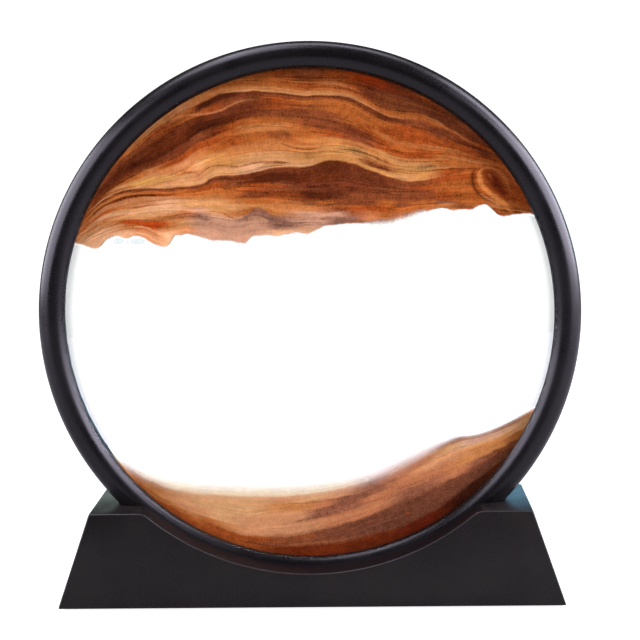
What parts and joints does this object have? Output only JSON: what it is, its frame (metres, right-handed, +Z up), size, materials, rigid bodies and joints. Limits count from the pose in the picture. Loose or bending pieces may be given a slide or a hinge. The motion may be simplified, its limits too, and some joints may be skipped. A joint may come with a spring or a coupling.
{
  "type": "moving sand art frame",
  "caption": "Round glass cell of layered sand and clear liquid in a black bead rim, standing in a grooved trapezoid base; turning the disc lets the sand fall into a new picture.",
  "frame": {"origin": "on the table, under the middle of the base and of the disc, at the feet's undersides", "axes": "+Z up, +X to the viewer's right, +Y from front to back; the disc turns about a line along Y"},
  "size_m": [0.1752, 0.046, 0.1802],
  "materials": {
    "base_plastic": "satin",
    "plate_plastic": "matte",
    "rim_plastic": "satin",
    "screw_steel": "satin",
    "foot_rubber": "matte",
    "pane_glass": "polished",
    "gasket_rubber": "matte",
    "seal_silicone": "satin",
    "spacer_plastic": "satin",
    "plug_rubber": "matte",
    "orange_sand": "matte",
    "dark_sand": "matte",
    "gold_sand": "matte",
    "umber_sand": "matte",
    "rust_sand": "matte",
    "mauve_sand": "matte",
    "tan_sand": "matte",
    "brown_sand": "matte",
    "clear_liquid": "polished",
    "air": "polished"
  },
  "bodies": {
    "base": {"base_shell": "base_plastic", "base_plate": "plate_plastic", "plate_screw_front_left": "screw_steel", "plate_screw_front_right": "screw_steel", "plate_screw_rear_left": "screw_steel", "plate_screw_rear_right": "screw_steel", "foot_front_left": "foot_rubber", "foot_front_right": "foot_rubber", "foot_rear_left": "foot_rubber", "foot_rear_right": "foot_rubber"},
    "lift_carrier": {"front_gasket": "gasket_rubber"},
    "picture": {"front_rim": "rim_plastic", "rear_rim": "rim_plastic", "front_glass": "pane_glass", "rear_glass": "pane_glass", "rear_gasket": "gasket_rubber", "front_seal": "seal_silicone", "rear_seal": "seal_silicone", "spacer_ring": "spacer_plastic", "fill_plug": "plug_rubber", "sand_cap_layer": "orange_sand", "sand_dark_layer": "dark_sand", "sand_gold_layer": "gold_sand", "sand_umber_layer": "umber_sand", "sand_rust_layer": "rust_sand", "sand_fringe_layer": "mauve_sand", "dune_tan_layer": "tan_sand", "dune_brown_layer": "brown_sand", "dune_rust_layer": "rust_sand", "clear_liquid": "clear_liquid", "air_bubbles": "air"}
  },
  "joints": [
    {"name": "picture_lift", "type": "slide", "parent": "base", "child": "lift_carrier", "axis": [0, 0, 1], "range_m": [0, 0.06]},
    {"name": "picture_turn", "type": "hinge", "parent": "lift_carrier", "child": "picture", "pos_m": [0, 0, 0.0926], "axis": [0, 1, 0], "continuous": true}
  ]
}
